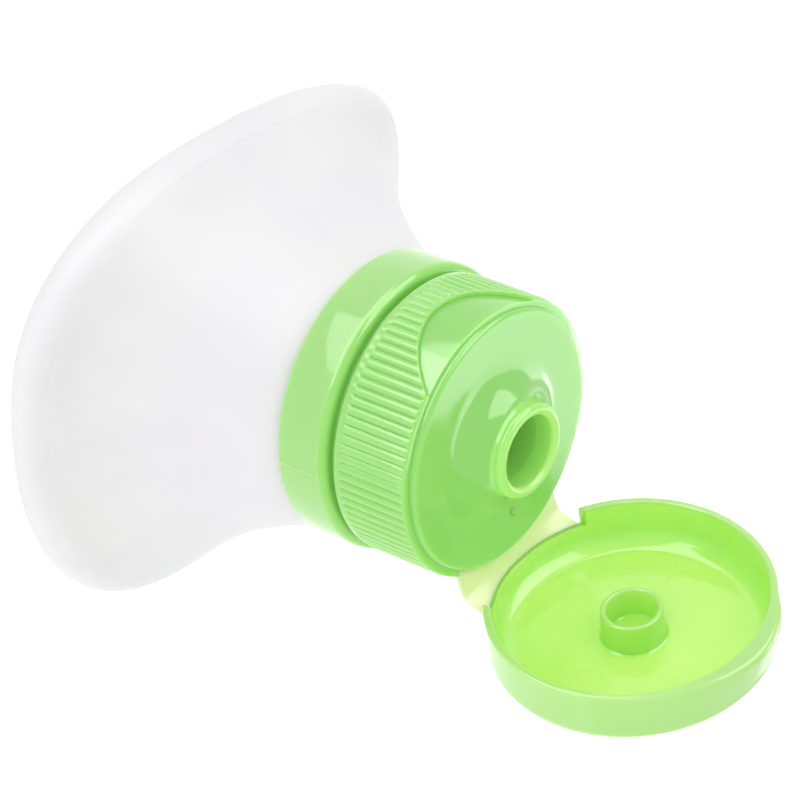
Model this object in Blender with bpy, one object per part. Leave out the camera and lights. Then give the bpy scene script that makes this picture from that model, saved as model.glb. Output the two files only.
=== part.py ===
"""Squeeze bottle: a soft oval bottle with a screw-on flip-top cap, lid open.

It stands on the flat under its domed base. +Z runs up the bottle's axis, the origin is the middle of
that flat, -Y is the front with the thumb recess, and the lid's hinge is at +Y. Lengths are in metres.
"""
import math

import bmesh
import bpy
from mathutils import Vector

MM = 0.001
CLEARANCE = 0.3 * MM             # between pieces that seat on each other

# The soft bottle
BODY_HALF_WIDTH = 36.85 * MM     # the long half of the oval
BODY_HALF_DEPTH = 29.15 * MM     # the short half of the oval
BODY_TURN = math.radians(-10.9)  # the oval against the hinge
BODY_HEIGHT = 30.5 * MM          # base to the shoulder under the collar
BODY_WALL = 1.8 * MM
OVAL_POWER = 3.05                # 2 is an ellipse, more is squarer
RIM_HEIGHT = 4.1 * MM            # the widest line, before it rises
RIM_RISE_END = 1.4 * MM          # how much it rises at the narrow ends
RIM_RISE_SIDE = 3.9 * MM         # at the broad sides
RIM_RISE_CORNER = 0.9 * MM       # and on top of both at the four corners
RIM_ROUND = 0.115                # share of the flank that the rounding of the rim takes
FOOT_SHARE = 0.515               # the flat foot against the rim
BASE_POWER = 1.49                # how the base curves up from the foot
FLARE_WIDTH = (0.21, 0.25)       # handles of the curve that widens the bottle from neck to rim
FLARE_DEPTH = (0.09, 0.2)
SHOULDER_SETBACK = 1.05 * MM     # of the bottle's shoulder behind the collar's face
NECK_WALL = 1.6 * MM
LIP_SETBACK = 0.2 * MM           # of the lip folded over the collar, behind the thread's root
LIP_THICKNESS = 1.2 * MM

# The threaded collar
COLLAR_PROUD = 0.55 * MM         # past the cap's ribs
COLLAR_WALL = 1.3 * MM           # under the thread
COLLAR_BAND = 6.9 * MM
COLLAR_ROUND = 1.1 * MM
COLLAR_THREADED = 7.4 * MM       # from the band up to the collar's top
THREAD_HEIGHT = 1.0 * MM
THREAD_PLAY = 0.4 * MM           # from its crest to the cap's bore
THREAD_ROOT_WIDTH = 1.9 * MM
THREAD_CREST_WIDTH = 1.1 * MM
THREAD_LEAD = 3.175 * MM         # eight turns to the inch
THREAD_TURNS = 1.25
THREAD_START = 2.1 * MM          # above the band, to the middle of the thread
CAP_THREAD_TURNS = 1.0
CAP_THREAD_ANGLE = math.radians(200.0)

# The ribbed cap
CAP_RADIUS = 17.5 * MM           # to the tips of the ribs
RIB_COUNT = 90
RIB_HEIGHT = 0.4 * MM
RIB_MARGIN = 0.8 * MM            # the smooth strip under the ribs
RIB_RUNOUT = 0.3 * MM
SKIRT_WALL = 1.5 * MM
SKIRT_HEIGHT = 10.55 * MM
CEILING_THICKNESS = 1.6 * MM
CORNER_RUN = 1.2 * MM            # the slope between the ceiling and the skirt, inwards
CORNER_DROP = 2.2 * MM
LEDGE_WIDTH = 1.2 * MM           # that the closed lid rests on
DECK_STEP = 0.75 * MM            # from the ledge up to the deck
DECK_ROUND = 0.5 * MM
FLARE_RADIUS = 11.0 * MM         # where the deck starts to rise to the spout
SPOUT_RADIUS = 5.95 * MM
SPOUT_BORE = 4.45 * MM
SPOUT_HEIGHT = 4.65 * MM
RECESS_DEPTH = 0.75 * MM         # of the thumb recess
RECESS_HEIGHT = 6.05 * MM
RECESS_HALF_WIDTH = 11.1 * MM    # at the ledge, along the curve
SEAL_THICKNESS = 1.2 * MM

# The hinge strap, a plate that turns on a fold line at each end
STRAP_WIDTH_CAP = 14.8 * MM
STRAP_WIDTH_LID = 18.0 * MM
STRAP_THICKNESS = 0.6 * MM
NOTCH_WIDTH = 20.2 * MM          # the gap for the strap in the cap's ledge and in the lid's rim
NOTCH_INSET = 1.05 * MM          # from the cap's ribs in to the wall behind the notch in the ledge
CAP_FOLD_INSET = 1.3 * MM        # from the cap's ribs in to the fold line on the cap
CAP_FOLD_DROP = 0.35 * MM        # under the ledge
LID_FOLD_INSET = 0.5 * MM        # and to the one on the lid
LID_FOLD_RISE = 2.1 * MM         # above the lid's rim
PAD_DEPTH = 3.0 * MM             # the bars that carry the strap's ends
ROOM_SLOPE = math.radians(45.0)  # the slope that lets the strap fold past level
ROOM_MARGIN = 2.0 * MM           # how far its cutter stands out of the skirt
STRAP_OPEN = math.radians(62.1)
LID_OPEN = math.radians(91.8)    # the lid against the cap, from closed

# The lid
LID_PROUD = 0.05 * MM            # past the cap's ribs
LID_HEIGHT = 7.0 * MM
LID_ROUND = 1.5 * MM
LID_WALL = 1.0 * MM
LID_TOP = 0.95 * MM
LID_FLOOR_ROUND = 1.0 * MM
PLUG_TIP_RADIUS = 3.76 * MM
PLUG_ROOT_RADIUS = 3.95 * MM
PLUG_BORE = 3.1 * MM
PLUG_SETBACK = 2.0 * MM          # from the lid's rim to the plug's tip
THUMB_REACH = 1.4 * MM
THUMB_HEIGHT = 0.9 * MM          # where the thumb lip reaches furthest
THUMB_ANGLE = math.radians(33.0)  # to each side of the front

# Facets
OVAL_SEGMENTS = 44
TURNED_SEGMENTS = 60
LID_SEGMENTS = 64
THREAD_SEGMENTS = 30             # to a turn

# Radii worked out from the sizes above
COLLAR_RADIUS = CAP_RADIUS + COLLAR_PROUD
SHOULDER_RADIUS = COLLAR_RADIUS - SHOULDER_SETBACK
LID_RADIUS = CAP_RADIUS + LID_PROUD
SKIRT_BORE = CAP_RADIUS - SKIRT_WALL
CORNER_RADIUS = SKIRT_BORE - CORNER_RUN
DECK_RADIUS = CAP_RADIUS - LEDGE_WIDTH
RECESS_RADIUS = CAP_RADIUS - RECESS_DEPTH
THREAD_ROOT = SKIRT_BORE - THREAD_PLAY - THREAD_HEIGHT
NECK_RADIUS = THREAD_ROOT - COLLAR_WALL - CLEARANCE
LIP_RADIUS = THREAD_ROOT - LIP_SETBACK
NOTCH_RADIUS = CAP_RADIUS - NOTCH_INSET
CAP_FOLD_Y = CAP_RADIUS - CAP_FOLD_INSET
LID_FOLD_Y = CAP_RADIUS - LID_FOLD_INSET

# Heights worked out from the sizes above
SHOULDER_Z = BODY_HEIGHT
COLLAR_Z = SHOULDER_Z + CLEARANCE
BAND_Z = COLLAR_Z + COLLAR_BAND
COLLAR_TOP_Z = BAND_Z + COLLAR_THREADED
LIP_Z = COLLAR_TOP_Z + CLEARANCE
LIP_TOP_Z = LIP_Z + LIP_THICKNESS
SEAL_Z = LIP_TOP_Z + CLEARANCE
CEILING_Z = SEAL_Z + SEAL_THICKNESS + CLEARANCE
DECK_Z = CEILING_Z + CEILING_THICKNESS
LEDGE_Z = DECK_Z - DECK_STEP
SKIRT_Z = LEDGE_Z - SKIRT_HEIGHT
SPOUT_Z = DECK_Z + SPOUT_HEIGHT
LID_RIM_Z = LEDGE_Z + CLEARANCE
CAP_FOLD_Z = LEDGE_Z - CAP_FOLD_DROP
LID_FOLD_Z = LID_RIM_Z + LID_FOLD_RISE
FOLD_ROOM = 0.5 * STRAP_THICKNESS + CLEARANCE
STRAP_LENGTH = math.hypot(LID_FOLD_Y - CAP_FOLD_Y, LID_FOLD_Z - CAP_FOLD_Z)
STRAP_LEAN = math.atan2(LID_FOLD_Y - CAP_FOLD_Y, LID_FOLD_Z - CAP_FOLD_Z)


def clear_scene():
    for obj in list(bpy.data.objects):
        bpy.data.objects.remove(obj, do_unlink=True)


def plastic(name, colour, roughness):
    material = bpy.data.materials.new(name)
    material.use_nodes = True
    shader = material.node_tree.nodes["Principled BSDF"]
    shader.inputs["Base Color"].default_value = (*colour, 1.0)
    shader.inputs["Roughness"].default_value = roughness
    shader.inputs["Metallic"].default_value = 0.0
    return material


def add_object(name, work, material=None):
    """Turns a bmesh into a shaded object."""
    bmesh.ops.recalc_face_normals(work, faces=work.faces)
    mesh = bpy.data.meshes.new(name)
    work.to_mesh(mesh)
    work.free()
    obj = bpy.data.objects.new(name, mesh)
    bpy.context.collection.objects.link(obj)
    if material:
        mesh.materials.append(material)
    mesh.shade_smooth()
    mesh.set_sharp_from_angle(angle=math.radians(35.0))
    return obj


def skin_rings(rings, closed):
    """Skins rings of points. A ring of one point is a pole; closed joins the last ring to the first."""
    work = bmesh.new()
    rows = [[work.verts.new(point) for point in ring] for ring in rings]
    pairs = list(zip(rows, rows[1:]))
    if closed:
        pairs.append((rows[-1], rows[0]))
    for low, high in pairs:
        count = max(len(low), len(high))
        for i in range(count):
            j = (i + 1) % count
            corners = [low[i % len(low)], low[j % len(low)], high[j % len(high)], high[i % len(high)]]
            work.faces.new(list(dict.fromkeys(corners)))
    return work


def sweep(sections):
    """Skins a row of sections with the same number of points and closes both ends."""
    work = bmesh.new()
    rows = [[work.verts.new(point) for point in section] for section in sections]
    for low, high in zip(rows, rows[1:]):
        for i in range(len(low)):
            j = (i + 1) % len(low)
            work.faces.new([low[i], low[j], high[j], high[i]])
    work.faces.new(rows[0])
    work.faces.new(rows[-1])
    return work


def round_point(radius, angle, z):
    return Vector((radius * math.cos(angle), radius * math.sin(angle), z))


def turned(name, outline, points, material=None, reach=None):
    """Turns an outline of (radius, z) about the axis. reach(angle, radius, z) is added to the radius."""
    rings = []
    for radius, z in outline:
        if radius == 0.0:
            rings.append([Vector((0.0, 0.0, z))])
            continue
        ring = []
        for i in range(points):
            angle = 2.0 * math.pi * i / points
            extra = reach(angle, radius, z) if reach else 0.0
            ring.append(round_point(radius + extra, angle, z))
        rings.append(ring)
    touches_axis = outline[0][0] == 0.0
    return add_object(name, skin_rings(rings, closed=not touches_axis), material)


def arc(centre, radius, start, end, steps):
    """Points on a circle in the outline's plane, angles in degrees from +r towards +z."""
    points = []
    for i in range(steps + 1):
        angle = math.radians(start + (end - start) * i / steps)
        points.append((centre[0] + radius * math.cos(angle), centre[1] + radius * math.sin(angle)))
    return points


def bar(name, outline, half_low, half_high=None, material=None):
    """A bar along X with a (y, z) outline; its half length may change from low z to high z."""
    if half_high is None:
        half_high = half_low
    heights = [z for _, z in outline]
    low, high = min(heights), max(heights)
    sections = []
    for side in (-1.0, 1.0):
        section = []
        for y, z in outline:
            share = (z - low) / (high - low)
            half = half_low + (half_high - half_low) * share
            section.append(Vector((side * half, y, z)))
        sections.append(section)
    return add_object(name, sweep(sections), material)


def combine(target, tool, operation):
    """Adds or cuts a tool with an exact Boolean, and hides the tool."""
    modifier = target.modifiers.new(tool.name, "BOOLEAN")
    modifier.operation = operation
    modifier.solver = "EXACT"
    modifier.object = tool
    tool.hide_render = True
    tool.display_type = "WIRE"


def grow(share, handles):
    """A cubic from 0 to 1 with its two inner handles."""
    rest = 1.0 - share
    return 3 * rest * rest * share * handles[0] + 3 * rest * share * share * handles[1] + share ** 3


def oval(power):
    """Points of a unit superellipse."""
    points = []
    for i in range(OVAL_SEGMENTS):
        angle = 2.0 * math.pi * i / OVAL_SEGMENTS
        c, s = math.cos(angle), math.sin(angle)
        points.append((math.copysign(abs(c) ** (2.0 / power), c), math.copysign(abs(s) ** (2.0 / power), s)))
    return points


def turn_oval(x, y, z):
    c, s = math.cos(BODY_TURN), math.sin(BODY_TURN)
    return Vector((x * c - y * s, x * s + y * c, z))


def rim_z(u, v):
    return RIM_HEIGHT + RIM_RISE_END * u * u + RIM_RISE_SIDE * v * v + RIM_RISE_CORNER * (2.0 * u * v) ** 2


def flank_ring(share, inset):
    """The bottle's side: share 0 is the shoulder, 1 the widest line."""
    power = 2.0 + (OVAL_POWER - 2.0) * min(1.0, 1.3 * share)
    top_radius = SHOULDER_RADIUS - inset
    top_z = SHOULDER_Z - inset
    width = top_radius + (BODY_HALF_WIDTH - inset - top_radius) * grow(share, FLARE_WIDTH)
    depth = top_radius + (BODY_HALF_DEPTH - inset - top_radius) * grow(share, FLARE_DEPTH)
    return [turn_oval(width * u, depth * v, top_z + (rim_z(u, v) - top_z) * share) for u, v in oval(power)]


def base_ring(share, inset):
    """The underside: share 0 is the edge of the flat foot, 1 the widest line."""
    scale = FOOT_SHARE + (1.0 - FOOT_SHARE) * share
    lift = 1.0 - (1.0 - share ** BASE_POWER) ** (1.0 / BASE_POWER)
    width = (BODY_HALF_WIDTH - inset) * scale
    depth = (BODY_HALF_DEPTH - inset) * scale
    points = oval(OVAL_POWER)
    return [turn_oval(width * u, depth * v, inset + (rim_z(u, v) - inset) * lift) for u, v in points]


def bottle_rings(inset, flank_steps, round_steps, base_steps):
    """The bottle's skin from the middle of its base to the shoulder, moved in by inset."""
    rings = [[Vector((0.0, 0.0, inset))]]
    base_end = 1.0 - RIM_ROUND
    for step in range(base_steps + 1):
        rings.append(base_ring(base_end * step / base_steps, inset))
    below = rings[-1]
    corner = flank_ring(1.0, inset)
    above = flank_ring(1.0 - RIM_ROUND, inset)
    for step in range(1, round_steps):
        t = step / round_steps
        rings.append([a.lerp(b, t).lerp(b.lerp(c, t), t) for a, b, c in zip(below, corner, above)])
    for step in range(flank_steps + 1):
        rings.append(flank_ring((1.0 - RIM_ROUND) * (1.0 - step / flank_steps), inset))
    return rings


def neck_ring(radius, z):
    return [turn_oval(radius * u, radius * v, z) for u, v in oval(2.0)]


def make_bottle(material):
    outer = bottle_rings(0.0, 9, 4, 6)
    bore = NECK_RADIUS - NECK_WALL
    neck = [neck_ring(NECK_RADIUS, SHOULDER_Z), neck_ring(NECK_RADIUS, LIP_Z),
            neck_ring(LIP_RADIUS, LIP_Z), neck_ring(LIP_RADIUS, LIP_TOP_Z),
            neck_ring(bore, LIP_TOP_Z), neck_ring(bore, SHOULDER_Z - BODY_WALL)]
    inner = bottle_rings(BODY_WALL, 6, 2, 4)
    return add_object("bottle_body", skin_rings(outer + neck + inner[::-1], closed=False), material)


def thread(name, root, crest, start_z, start_angle, turns):
    """A helical ridge from its root radius to its crest radius, its ends cut square."""
    steps = round(THREAD_SEGMENTS * turns)
    corners = [(root, -0.5 * THREAD_ROOT_WIDTH), (crest, -0.5 * THREAD_CREST_WIDTH),
               (crest, 0.5 * THREAD_CREST_WIDTH), (root, 0.5 * THREAD_ROOT_WIDTH)]
    sections = []
    for i in range(steps + 1):
        share = turns * i / steps
        angle = start_angle + 2.0 * math.pi * share
        z = start_z + THREAD_LEAD * share
        sections.append([round_point(radius, angle, z + side) for radius, side in corners])
    return add_object(name, sweep(sections))


def make_collar(material):
    bore = NECK_RADIUS + CLEARANCE
    band_top = arc((COLLAR_RADIUS - COLLAR_ROUND, BAND_Z - COLLAR_ROUND), COLLAR_ROUND, 0.0, 90.0, 4)
    outline = [(bore, COLLAR_Z), (COLLAR_RADIUS, COLLAR_Z)] + band_top
    outline += [(THREAD_ROOT, BAND_Z), (THREAD_ROOT, COLLAR_TOP_Z), (bore, COLLAR_TOP_Z)]
    collar = turned("threaded_collar", outline, TURNED_SEGMENTS, material)
    ridge = thread("collar_thread", THREAD_ROOT - CLEARANCE, THREAD_ROOT + THREAD_HEIGHT,
                   BAND_Z + THREAD_START, 0.0, THREAD_TURNS)
    combine(collar, ridge, "UNION")
    return collar


def make_seal(material):
    bore = NECK_RADIUS - NECK_WALL
    top = SEAL_Z + SEAL_THICKNESS
    outline = [(bore, SEAL_Z), (LIP_RADIUS, SEAL_Z), (LIP_RADIUS, top), (bore, top)]
    return turned("cap_seal", outline, TURNED_SEGMENTS // 2, material)


def ribbed_skirt(material):
    """A tube whose outside is a row of fine ribs, a tip and a root to each rib."""
    margin = CAP_RADIUS - 0.5 * RIB_HEIGHT
    core = 0.9 * SKIRT_BORE      # the cavity is cut later
    rows = [(core, SKIRT_Z, 0.0), (margin, SKIRT_Z, 0.0), (margin, SKIRT_Z + RIB_MARGIN, 0.0),
            (CAP_RADIUS, SKIRT_Z + RIB_MARGIN + RIB_RUNOUT, RIB_HEIGHT),
            (CAP_RADIUS, LEDGE_Z - RIB_RUNOUT, RIB_HEIGHT),
            (CAP_RADIUS - RIB_RUNOUT, LEDGE_Z, 0.5 * RIB_HEIGHT), (core, LEDGE_Z, 0.0)]
    points = 2 * RIB_COUNT
    rings = []
    for radius, z, depth in rows:
        ring = []
        for i in range(points):
            ring.append(round_point(radius - depth * (i % 2), 2.0 * math.pi * i / points, z))
        rings.append(ring)
    return add_object("cap", skin_rings(rings, closed=True), material)


def deck_outline():
    """The deck: a round edge, a nearly flat top, and a flare up to the round lip of the spout."""
    edge = arc((DECK_RADIUS - DECK_ROUND, DECK_Z - DECK_ROUND), DECK_ROUND, 0.0, 90.0, 3)
    bead = 0.5 * (SPOUT_RADIUS - SPOUT_BORE)
    rise = SPOUT_HEIGHT - bead
    flare = []
    for step in range(6):
        angle = 0.5 * math.pi * step / 5
        r = FLARE_RADIUS - (FLARE_RADIUS - SPOUT_RADIUS) * math.sin(angle)
        flare.append((r, DECK_Z + rise * (1.0 - math.cos(angle))))
    lip = arc((SPOUT_BORE + bead, SPOUT_Z - bead), bead, 0.0, 180.0, 6)
    below = CEILING_Z - CORNER_DROP
    return [(SPOUT_BORE, below), (DECK_RADIUS, below)] + edge + flare[:-1] + lip


def recess_cutter():
    """The thumb recess: a curved panel whose lower edge is a parabola on the skirt."""
    steps = 16
    outer = CAP_RADIUS + MM
    top = LEDGE_Z + MM
    half_angle = RECESS_HALF_WIDTH / CAP_RADIUS
    sections = []
    for i in range(steps + 1):
        share = 2.0 * i / steps - 1.0
        angle = -0.5 * math.pi + half_angle * share
        low = LEDGE_Z - RECESS_HEIGHT * (1.0 - share * share)
        sections.append([round_point(RECESS_RADIUS, angle, low), round_point(outer, angle, low),
                         round_point(outer, angle, top), round_point(RECESS_RADIUS, angle, top)])
    return add_object("thumb_recess", sweep(sections))


def ledge_notch():
    """The gap in the cap's ledge at the hinge, outside a round wall."""
    floor = CAP_FOLD_Z - FOLD_ROOM
    top = LEDGE_Z + MM
    near = 0.5 * CAP_RADIUS
    far = CAP_RADIUS + MM
    notch = bar("ledge_notch", [(near, floor), (far, floor), (far, top), (near, top)], 0.5 * NOTCH_WIDTH)
    outline = [(0.0, SKIRT_Z), (NOTCH_RADIUS, SKIRT_Z), (NOTCH_RADIUS, SPOUT_Z), (0.0, SPOUT_Z)]
    wall = turned("notch_wall", outline, TURNED_SEGMENTS)
    combine(notch, wall, "DIFFERENCE")
    return notch


def strap_room():
    """The slot that the strap's end turns in, with a slope that lets it fold past level."""
    inner = CAP_FOLD_Y - FOLD_ROOM
    floor = CAP_FOLD_Z - FOLD_ROOM
    slope_start = CAP_FOLD_Y - FOLD_ROOM * math.tan(0.5 * ROOM_SLOPE)
    outer = CAP_RADIUS + ROOM_MARGIN
    slope_end = floor - (outer - slope_start) * math.tan(ROOM_SLOPE)
    top = DECK_Z + MM
    outline = [(inner, top), (inner, floor), (slope_start, floor), (outer, slope_end), (outer, top)]
    return bar("strap_room", outline, 0.5 * STRAP_WIDTH_CAP + CLEARANCE)


def make_cap(material):
    cap = ribbed_skirt(material)
    combine(cap, turned("cap_deck", deck_outline(), TURNED_SEGMENTS), "UNION")
    pad_low = CAP_FOLD_Z - FOLD_ROOM - PAD_DEPTH
    pad_in = SKIRT_BORE - PAD_DEPTH
    pad_out = CAP_FOLD_Y + CLEARANCE
    pad = bar("cap_hinge_pad", [(pad_in, pad_low), (pad_out, pad_low), (pad_out, CAP_FOLD_Z),
                                (pad_in, CAP_FOLD_Z)], 0.5 * STRAP_WIDTH_CAP)
    combine(cap, pad, "UNION")
    cavity = turned("cap_cavity", [(0.0, SKIRT_Z - MM), (SKIRT_BORE, SKIRT_Z - MM),
                                   (SKIRT_BORE, CEILING_Z - 0.8 * CORNER_DROP),
                                   (CORNER_RADIUS, CEILING_Z), (0.0, CEILING_Z)], TURNED_SEGMENTS)
    combine(cap, cavity, "DIFFERENCE")
    start_z = BAND_Z + THREAD_START + THREAD_LEAD * (CAP_THREAD_ANGLE / (2.0 * math.pi) - 0.5)
    ridge = thread("cap_thread", SKIRT_BORE + CLEARANCE, SKIRT_BORE - THREAD_HEIGHT,
                   start_z, CAP_THREAD_ANGLE, CAP_THREAD_TURNS)
    combine(cap, ridge, "UNION")
    combine(cap, ledge_notch(), "DIFFERENCE")
    combine(cap, strap_room(), "DIFFERENCE")
    combine(cap, recess_cutter(), "DIFFERENCE")
    return cap


def make_strap(material, cap):
    """A plate with round ends; it stands nearly upright when the lid is closed."""
    radius = 0.5 * STRAP_THICKNESS
    outline = arc((0.0, STRAP_LENGTH), radius, 0.0, 180.0, 6) + arc((0.0, 0.0), radius, 180.0, 360.0, 6)
    strap = bar("hinge_strap", outline, 0.5 * STRAP_WIDTH_CAP, 0.5 * STRAP_WIDTH_LID, material)
    strap.location = (0.0, CAP_FOLD_Y, CAP_FOLD_Z)
    strap.rotation_euler = (-STRAP_OPEN - STRAP_LEAN, 0.0, 0.0)
    strap.parent = cap
    return strap


def lid_pivot():
    """The one point that takes the lid from closed to where it hangs on the opened strap."""
    closed = Vector((LID_FOLD_Y, LID_FOLD_Z))
    swing = STRAP_LEAN + STRAP_OPEN
    opened = Vector((CAP_FOLD_Y, CAP_FOLD_Z)) + STRAP_LENGTH * Vector((math.sin(swing), math.cos(swing)))
    half = 0.5 * (opened - closed)
    y, z = closed + half + Vector((half.y, -half.x)) / math.tan(0.5 * LID_OPEN)
    return Vector((0.0, y, z))


def thumb_lip(angle, radius, z):
    """How far the lid's outer wall swells at the front."""
    from_front = abs(math.remainder(angle + 0.5 * math.pi, 2.0 * math.pi)) / THUMB_ANGLE
    if radius < LID_RADIUS - 0.5 * LID_WALL or from_front > 1.0:
        return 0.0
    if z < THUMB_HEIGHT:
        height = 0.75 + 0.25 * z / THUMB_HEIGHT
    else:
        height = max(0.0, 1.0 - (z - THUMB_HEIGHT) / (LID_HEIGHT - LID_ROUND - THUMB_HEIGHT))
    return THUMB_REACH * (1.0 - from_front * from_front) * height


def lid_outline():
    """The lid as it lies closed, its rim at z = 0 and its plug pointing down."""
    inner = LID_RADIUS - LID_WALL
    floor = LID_HEIGHT - LID_TOP
    crown = arc((LID_RADIUS - LID_ROUND, LID_HEIGHT - LID_ROUND), LID_ROUND, 90.0, 0.0, 4)
    corner = arc((inner - LID_FLOOR_ROUND, floor - LID_FLOOR_ROUND), LID_FLOOR_ROUND, 0.0, 90.0, 2)
    wall = [(LID_RADIUS, z) for z in (0.5 * LID_HEIGHT, THUMB_HEIGHT, 0.0)]
    plug = [(PLUG_ROOT_RADIUS, floor), (PLUG_TIP_RADIUS, PLUG_SETBACK), (PLUG_BORE, PLUG_SETBACK),
            (PLUG_BORE, floor)]
    return [(0.0, LID_HEIGHT)] + crown + wall + [(inner, 0.0)] + corner + plug + [(0.0, floor)]


def make_lid(material, cap):
    """The lid is modelled closed and turned open about its pivot."""
    lid = turned("flip_lid", lid_outline(), LID_SEGMENTS, material, thumb_lip)
    notch_top = LID_FOLD_RISE + FOLD_ROOM
    pad_in = LID_RADIUS - PAD_DEPTH
    pad_out = LID_FOLD_Y + CLEARANCE
    pad = bar("lid_hinge_pad", [(pad_in, LID_FOLD_RISE), (pad_out, LID_FOLD_RISE),
                                (pad_out, notch_top + CLEARANCE), (pad_in, notch_top + PAD_DEPTH)],
              0.5 * STRAP_WIDTH_LID)
    notch_in = LID_RADIUS - LID_WALL - PAD_DEPTH
    notch_out = LID_RADIUS + MM
    notch = bar("lid_notch", [(notch_in, -MM), (notch_out, -MM), (notch_out, notch_top),
                              (notch_in, notch_top)], 0.5 * NOTCH_WIDTH)
    pivot = lid_pivot()
    to_pivot = Vector((0.0, 0.0, LID_RIM_Z)) - pivot
    for piece in (lid, pad, notch):
        for vertex in piece.data.vertices:
            vertex.co += to_pivot
    for tool in (pad, notch):
        tool.parent = lid
    combine(lid, pad, "UNION")
    combine(lid, notch, "DIFFERENCE")
    lid.location = pivot
    lid.rotation_euler = (-LID_OPEN, 0.0, 0.0)
    lid.parent = cap
    return lid


def build():
    clear_scene()
    silicone = plastic("milky_silicone", (0.86, 0.85, 0.88), 0.55)
    green = plastic("apple_green_plastic", (0.30, 0.72, 0.13), 0.32)
    lid_green = plastic("lime_green_plastic", (0.38, 0.85, 0.09), 0.32)
    film = plastic("pale_lime_film", (0.66, 0.90, 0.33), 0.35)
    rubber = plastic("white_seal", (0.80, 0.80, 0.80), 0.60)
    make_bottle(silicone)
    make_collar(green)
    make_seal(rubber)
    cap = make_cap(green)
    make_strap(film, cap)
    make_lid(lid_green, cap)


build()
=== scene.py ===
# %% [markdown]
# # A soft squeeze bottle with a flip-top cap
#
# The bottle is moulded from milky silicone, stretched over a threaded collar of apple-green plastic. A
# ribbed cap screws onto the collar, and a lime-green lid hangs open from the cap by a thin film, the
# living hinge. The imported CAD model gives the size, the place and the motion of every piece. This script
# gives each piece the fine shape and the finish that the eye sees.

# %% Load the frame
import math

import bmesh
import bpy
from mathutils import Matrix, Vector


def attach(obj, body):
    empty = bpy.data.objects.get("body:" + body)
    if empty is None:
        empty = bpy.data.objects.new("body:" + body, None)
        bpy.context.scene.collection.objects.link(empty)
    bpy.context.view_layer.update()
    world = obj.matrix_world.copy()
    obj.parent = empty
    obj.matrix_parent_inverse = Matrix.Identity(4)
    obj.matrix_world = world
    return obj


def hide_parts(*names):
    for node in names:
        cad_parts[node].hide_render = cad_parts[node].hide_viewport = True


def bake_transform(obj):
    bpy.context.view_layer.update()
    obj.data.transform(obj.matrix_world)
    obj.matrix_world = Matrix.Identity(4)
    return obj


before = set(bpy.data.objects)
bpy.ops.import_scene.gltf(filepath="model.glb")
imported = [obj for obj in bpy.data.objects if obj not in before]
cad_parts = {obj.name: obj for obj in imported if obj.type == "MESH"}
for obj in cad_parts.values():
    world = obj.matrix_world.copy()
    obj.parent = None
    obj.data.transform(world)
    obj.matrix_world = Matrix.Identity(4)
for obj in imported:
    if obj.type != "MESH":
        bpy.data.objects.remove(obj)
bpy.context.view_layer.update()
MM = 0.001

# %% [markdown]
# ## The camera
#
# The photograph was taken from far away with a long lens, so the bottle shows almost no perspective. The
# bottle lies on its side there, and here it stands, so the camera is rolled instead: its place and its
# three axes were worked out from the photograph's own ellipses, the cap's deck and the lid's rim.

# %% Camera
FOCAL_LENGTH = 191.34
SENSOR_WIDTH = 36.0
CAMERA_PLACE = Vector((0.28373258, -0.31786692, 0.31455965))
CAMERA_RIGHT = Vector((-0.61112969, 0.14025365, 0.7790054))
CAMERA_DOWN = Vector((0.56263284, 0.76922026, 0.30289352))

camera_data = bpy.data.cameras.new("camera")
camera_data.lens = FOCAL_LENGTH
camera_data.sensor_width = SENSOR_WIDTH
camera = bpy.data.objects.new("camera", camera_data)
axes = Matrix((CAMERA_RIGHT, -CAMERA_DOWN, CAMERA_RIGHT.cross(-CAMERA_DOWN))).transposed()
camera.matrix_world = Matrix.Translation(CAMERA_PLACE) @ axes.to_4x4()
bpy.context.collection.objects.link(camera)
bpy.context.scene.camera = camera
print("camera is", round(CAMERA_PLACE.length, 3), "m from the foot")

# %% [markdown]
# ## Helpers for materials
#
# Colours are picked on a screen as sRGB hex values, while the renderer works in linear light, so one
# function turns them over. A second one adds a node with its settings and links. Every material starts
# from the Principled shader, whose sockets carry the numbers that are the same all over a surface. Blender's
# noise stays near 0.5, so it is spread out between the two ends that it really reaches.

# %% Material helpers
NOISE_SPAN = {"From Min": 0.3, "From Max": 0.7}


def linear(hex_colour):
    """An sRGB hex colour as linear RGBA."""
    values = [int(hex_colour[i:i + 2], 16) / 255.0 for i in (1, 3, 5)]
    return (*[v / 12.92 if v <= 0.04045 else ((v + 0.055) / 1.055) ** 2.4 for v in values], 1.0)


def add_node(tree, kind, inputs, **settings):
    """Adds a node. A value in inputs is set on its socket, and another node's output is linked to it."""
    made = tree.nodes.new(kind)
    for name, value in settings.items():
        setattr(made, name, value)
    for name, value in inputs.items():
        if isinstance(value, bpy.types.NodeSocket):
            tree.links.new(value, made.inputs[name])
        else:
            made.inputs[name].default_value = value
    return made


def new_material(name, sockets):
    """A material with a Principled shader and its constant sockets; returns it, its tree and the shader."""
    material = bpy.data.materials.new(name)
    material.use_nodes = True
    tree = material.node_tree
    shader = tree.nodes["Principled BSDF"]
    for socket, value in sockets.items():
        shader.inputs[socket].default_value = value
    return material, tree, shader


print("the screen's grey #808080 is", round(linear("#808080")[0], 3), "in linear light")

# %% [markdown]
# ## Milky silicone
#
# The bottle is liquid silicone rubber, pressed in a mould whose steel was blasted matt. Light goes a few
# millimetres into it and comes out again, which makes it look milky, softens every shadow and lets the
# edges glow. The colour is a faint lilac grey, a little warmer where the wall is thick. The blasted steel
# leaves a very fine grain; it is drawn at 0.25 mm so that it shows at all.

# %% Silicone
CLOUD_SIZE = 14.0 * MM
GRAIN_SIZE = 0.25 * MM


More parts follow.
